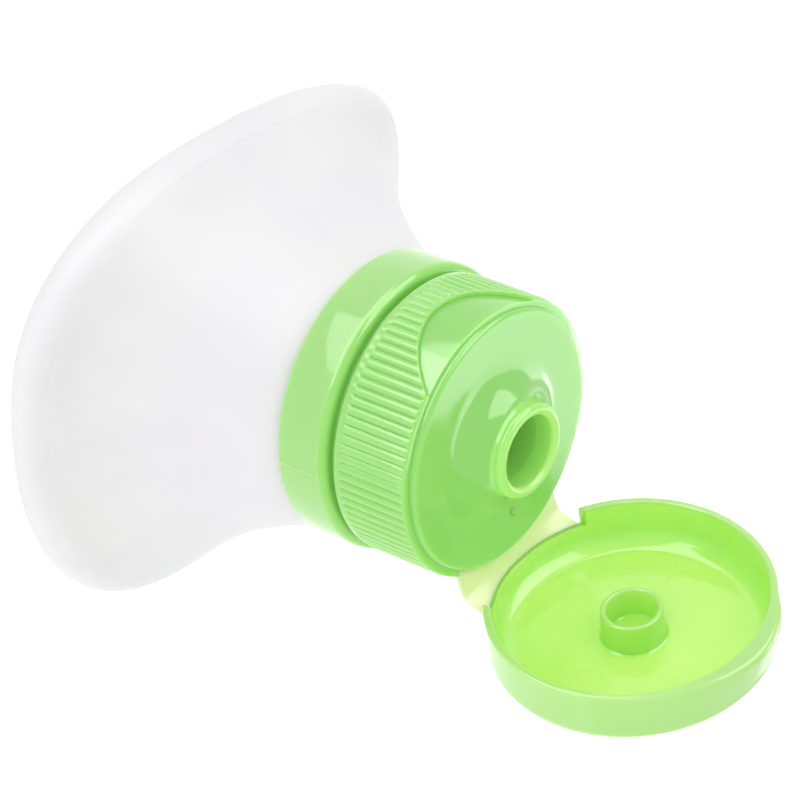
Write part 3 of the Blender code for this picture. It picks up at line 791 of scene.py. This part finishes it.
def lid_outline():
    """From the middle of the top, down the outside, over the rim, across the floor and the plug."""
    crown = arc(LID_RADIUS - CROWN_ROUND, LID_HEIGHT - CROWN_ROUND, CROWN_ROUND, 90.0, 0.0, 10)
    wall = [(LID_RADIUS, z) for z in (4.6, 3.6, 2.6, 1.8, 0.9, 0.45)]
    inside = LID_RADIUS - LID_WALL
    rim = arc(LID_RADIUS - LID_RIM_ROUND, LID_RIM_ROUND, LID_RIM_ROUND, 0.0, -90.0, 5)
    rim += arc(inside + LID_RIM_ROUND, LID_RIM_ROUND, LID_RIM_ROUND, 270.0, 180.0, 5)
    floor = arc(inside - LID_FILLET, LID_FLOOR - LID_FILLET, LID_FILLET, 0.0, 90.0, 12)
    floor += [(r, LID_FLOOR) for r in (12.5, 10.0, 7.5, 5.5, 4.7)]
    tip_z = PLUG_TIP + PLUG_TIP_ROUND
    plug = [(4.25, LID_FLOOR), (4.0, LID_FLOOR - 0.2), (3.78, tip_z + 0.2)]
    plug += arc(3.48, tip_z, PLUG_TIP_ROUND, 0.0, -90.0, 4) + arc(3.4, tip_z, PLUG_TIP_ROUND, 270.0, 180.0, 4)
    plug += [(3.1, LID_FLOOR - 0.2), (2.9, LID_FLOOR)]
    return [(0.0, LID_HEIGHT)] + crown + wall + rim + floor + plug + [(0.0, LID_FLOOR)]


def to_open_lid(closed):
    """Takes a point from the closed lid's own frame (mm, hinge towards +Y) to where the lid hangs open."""
    swung = LID_TO_HINGE * closed.y - LID_OPENS * closed.z + Vector((closed.x, 0.0, 0.0))
    return LID_CENTRE + swung * MM


print("the lid's outline has", len(lid_outline()), "points")


# %% Lid
def lid_painted_light(place):
    """The floor is thin and painted as glowing with light through it, the wall and plug deeper; outside and
    plug tip painted pale as a sheen.
    """
    radius = place.xy.length
    # The plug: a painted pale sheen at its tip, and its sides a little deeper than the floor's painted glow.
    if radius < 4.4 and place.z < LID_FLOOR - 0.1:
        return 0.9 if place.z < PLUG_TIP + 0.1 else 0.4 if radius > 3.45 else 0.15
    # The outside, the rim and the top are painted pale, a painted sheen.
    if radius > LID_RADIUS - 0.9 or place.z < 0.3 or place.z > LID_HEIGHT - 0.3:
        return EDGE_SHEEN
    # The floor is painted as a glow of light through the thin plastic, a little less towards the wall.
    return 0.16 * clamp((radius - 15.4) / 1.1)


def ejector_mark(x):
    """A disc that cuts a shallow print into the floor, x mm from the middle."""
    top = LID_FLOOR + EJECTOR_DEPTH
    outline = [(0.0, LID_FLOOR - 1.05), (EJECTOR_RADIUS, LID_FLOOR - 1.05), (EJECTOR_RADIUS, top), (0.0, top)]
    shift = Vector((x, 0.0, 0.0)) * MM
    rings = [[point + shift for point in ring] for ring in turned_rings(outline, 64)]
    return new_piece("ejector_mark", skin_rings(rings, closed=False), lime_green)


def make_lid():
    """The turned lid, less its notch and its ejector prints, swung open."""
    rings = turned_rings(lid_outline(), LID_POINTS, thumb_lip)
    lid = new_piece("flip_lid_shell", skin_rings(rings, closed=False), lime_green)
    carve(lid, new_block("rim_notch", NOTCH_ENDS, (8.0, 19.5), (-1.0, NOTCH_DEPTH), lime_green))
    for x in EJECTOR_MARKS:
        carve(lid, ejector_mark(x))
    paint_light_and_shade(lid, lid_painted_light)
    for vertex in lid.data.vertices:
        vertex.co = to_open_lid(vertex.co / MM)
    lid.data.flip_normals()
    lid.data.set_sharp_from_angle(angle=SHARP_ANGLE)
    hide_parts("flip_lid")
    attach(lid, "lid")
    return lid


lid = make_lid()
print("lid:", len(lid.data.polygons), "faces")

# %% [markdown]
# ## The living hinge
#
# The lid hangs from the cap by a film a third of a millimetre thick, so thin that it looks almost white.
# It leaves the round wall of the cap, turns up and joins the round wall of the lid: short in the middle
# and long at its two free edges. It is lofted between those two arcs through a middle line. It bends as
# the lid moves; here it is one piece that stands for the CAD model's stiff strap.

# %% Film curve
FILM_THICKNESS = 0.34
FILM_AT_CAP = (-8.9, 10.0)
FILM_AT_LID = (-9.2, 9.7)
CAP_END_RADIUS, CAP_END_Z = 16.3, 48.55
LID_END_RADIUS, LID_END_Z = 17.2, 2.45
FILM_MIDDLE_Y, FILM_MIDDLE_Z, FILM_MIDDLE_RISE = 17.3, 48.9, 0.2
FILM_SLOPE = Vector((0.0, 0.97, 0.24))
FILM_HANDLE = 0.33


def film_guides(share):
    """The film's start on the cap, its middle and its end on the lid, in mm; share runs -1 to 1 across."""
    side = 0.5 + 0.5 * share
    x = FILM_AT_CAP[0] + (FILM_AT_CAP[1] - FILM_AT_CAP[0]) * side
    start = Vector((x, math.sqrt(CAP_END_RADIUS ** 2 - x * x), CAP_END_Z))
    middle = Vector((x, FILM_MIDDLE_Y, FILM_MIDDLE_Z + FILM_MIDDLE_RISE * share * share))
    x = FILM_AT_LID[0] + (FILM_AT_LID[1] - FILM_AT_LID[0]) * side
    closed = Vector((x, math.sqrt(LID_END_RADIUS ** 2 - x * x), LID_END_Z))
    return start, middle, to_open_lid(closed) / MM


def bend(start, handle, end, t):
    """A point on the curve from start to end that leans towards the handle."""
    return (1 - t) ** 2 * start + 2 * t * (1 - t) * handle + t ** 2 * end


def film_point(share, along):
    """along runs 0 to 1 from the cap to the middle, and on to 2 at the lid."""
    start, middle, end = film_guides(share)
    if along < 1.0:
        return bend(start, middle - FILM_SLOPE * (FILM_HANDLE * (middle - start).length), middle, along)
    return bend(middle, middle + FILM_SLOPE * (FILM_HANDLE * (end - middle).length), end, along - 1.0)


print("the film is", round((film_point(0.0, 2.0) - film_point(0.0, 0.0)).length, 1), "mm long in the middle")

# %% Film
ACROSS = 48
ALONG = 28


def film_side(work, side):
    """Rows of vertices for one face of the film; side is -0.5 or 0.5 of its thickness."""
    rows = []
    for j in range(ALONG + 1):
        t = 2.0 * j / ALONG
        row = []
        for i in range(ACROSS + 1):
            share = 2.0 * i / ACROSS - 1.0
            run = film_point(share, min(2.0, t + 0.02)) - film_point(share, max(0.0, t - 0.02))
            normal = Vector((0.0, -run.z, run.y)).normalized()
            row.append(work.verts.new((film_point(share, t) + normal * (side * FILM_THICKNESS)) * MM))
        rows.append(row)
    return rows


def make_film():
    """Two faces of the film, joined along its four edges, in one piece."""
    work = bmesh.new()
    sheets = [film_side(work, side) for side in (-0.5, 0.5)]
    for rows in sheets:
        for low, high in zip(rows, rows[1:]):
            for i in range(ACROSS):
                work.faces.new([low[i], low[i + 1], high[i + 1], high[i]])
    edges = [[rows[0], [row[-1] for row in rows], rows[-1], [row[0] for row in rows]] for rows in sheets]
    for a, b in zip(*edges):
        for i in range(len(a) - 1):
            work.faces.new([a[i], a[i + 1], b[i + 1], b[i]])
    film = new_piece("hinge_film", work, pale_film)
    paint_light_and_shade(film, lambda place: 0.2)
    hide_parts("hinge_strap")
    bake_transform(film)
    return film


film = make_film()
print("film:", len(film.data.polygons), "faces")

# %% [markdown]
# ## Floor and light
#
# The photograph is a bright one on white, with hardly a shadow. The world gives an even white light and
# three large softboxes shape it a little. The polished plastic also mirrors the studio, as bright patches
# on the collar, the deck, the spout's cone, the lid and its plug. Most of them are the mirror image of one
# card, placed where the surface reflects the camera's line of sight, and such a card lights nothing else.
# The floor is a white sheet that adds some light of its own to what the camera and the reflections see, so
# that it shows as white and still keeps a faint shadow.

# %% Floor
WHITE = (1.0, 1.0, 1.0, 1.0)
FLOOR_HALF = 3.0
FLOOR_Z = -0.1 * MM
FLOOR_GLOW = 0.5


def seen_directly(tree):
    """1 for what the camera, a mirror or a clear material sees, and 0 for the light that falls on things."""
    path = add_node(tree, "ShaderNodeLightPath", {})
    seen = add_node(tree, "ShaderNodeMath", {0: path.outputs["Is Camera Ray"],
                                             1: path.outputs["Is Glossy Ray"]}, operation="ADD")
    seen = add_node(tree, "ShaderNodeMath", {0: seen.outputs[0], 1: path.outputs["Is Transmission Ray"]},
                    operation="ADD", use_clamp=True)
    return seen.outputs[0]


def make_floor():
    """A large sheet of white paper just under the foot."""
    material, tree, shader = new_material("white paper sweep", {
        "Roughness": 0.9, "IOR": 1.45, "Base Color": linear("#F8F8F8"), "Emission Color": WHITE})
    glow = add_node(tree, "ShaderNodeMath", {0: seen_directly(tree), 1: FLOOR_GLOW}, operation="MULTIPLY")
    tree.links.new(glow.outputs[0], shader.inputs["Emission Strength"])
    work = bmesh.new()
    corners = [(-FLOOR_HALF, -FLOOR_HALF), (FLOOR_HALF, -FLOOR_HALF), (FLOOR_HALF, FLOOR_HALF),
               (-FLOOR_HALF, FLOOR_HALF)]
    work.faces.new([work.verts.new((x, y, FLOOR_Z)) for x, y in corners])
    floor = new_piece("floor", work, material)


make_floor()
print("the floor is", 2 * FLOOR_HALF, "m wide")


# %% Room and lamps
def light_the_room(strength):
    """An even white world: what is seen of it is white, and it lights things at the given strength."""
    world = bpy.data.worlds.new("white room")
    world.use_nodes = True
    tree = world.node_tree
    level = add_node(tree, "ShaderNodeMapRange", {"Value": seen_directly(tree), "To Min": strength,
                                                  "To Max": 1.0})
    tree.links.new(level.outputs["Result"], tree.nodes["Background"].inputs["Strength"])
    tree.nodes["Background"].inputs["Color"].default_value = WHITE
    bpy.context.scene.world = world


def add_card(name, place, target, width, height, radiance, lights, mirrored):
    """A rectangular lamp as bright as radiance, in white units. lights: falls on things. mirrored: shows."""
    data = bpy.data.lights.new(name, "AREA")
    data.shape = "RECTANGLE"
    data.size = width
    data.size_y = height
    data.energy = radiance * math.pi * width * height
    lamp = bpy.data.objects.new(name, data)
    lamp.location = place
    lamp.rotation_euler = (Vector(target) - Vector(place)).to_track_quat("-Z", "Y").to_euler()
    lamp.visible_camera = False
    lamp.visible_diffuse = lights
    lamp.visible_glossy = mirrored
    bpy.context.collection.objects.link(lamp)


light_the_room(0.93)
print("the room is lit")

# %% Cards
SPOUT = Vector((0.0, 0.0, 0.052))
# Each row is a name, a place, the point it faces, a width and a height in metres, and its radiance.
SOFTBOXES = [
    ("key softbox", (-0.5, -0.75, 0.8), SPOUT, 0.7, 0.7, 0.35),
    ("fill softbox", (0.75, -0.8, 0.22), SPOUT, 0.8, 0.5, 0.8),
    ("side softbox", (0.8, 0.6, 0.2), SPOUT, 0.6, 0.4, 1.2),
]
MIRRORED_CARDS = [
    ("window", SPOUT + Vector((-0.45, -0.68, 0.58)) * 0.9, SPOUT, 0.85, 0.85, 4.5),
    ("deck panel", (-0.38, 0.24, 0.37), (0.23, -0.55, 0.37), 0.25, 0.44, 2.1),
    ("cone strip", SPOUT + Vector((-0.38, 0.455, 0.80)) * 0.6, SPOUT, 0.18, 0.07, 3.0),
    ("small lamp", SPOUT + Vector((-0.75, 0.58, 0.30)) * 0.6, SPOUT, 0.07, 0.07, 3.5),
    ("lid card", (0.0105, -0.075, 0.03), (-0.0124, 0.017, 0.062), 0.13, 0.045, 4.0),
    ("floor card", (0.025, -0.075, 0.001), (0.025, -0.075, 1.0), 0.05, 0.04, 3.0),
]
for softbox in SOFTBOXES:
    add_card(*softbox, lights=True, mirrored=False)
for card in MIRRORED_CARDS:
    add_card(*card, lights=False, mirrored=True)
bpy.context.scene.view_settings.view_transform = "Standard"
print(len(SOFTBOXES), "softboxes and", len(MIRRORED_CARDS), "mirrored cards")
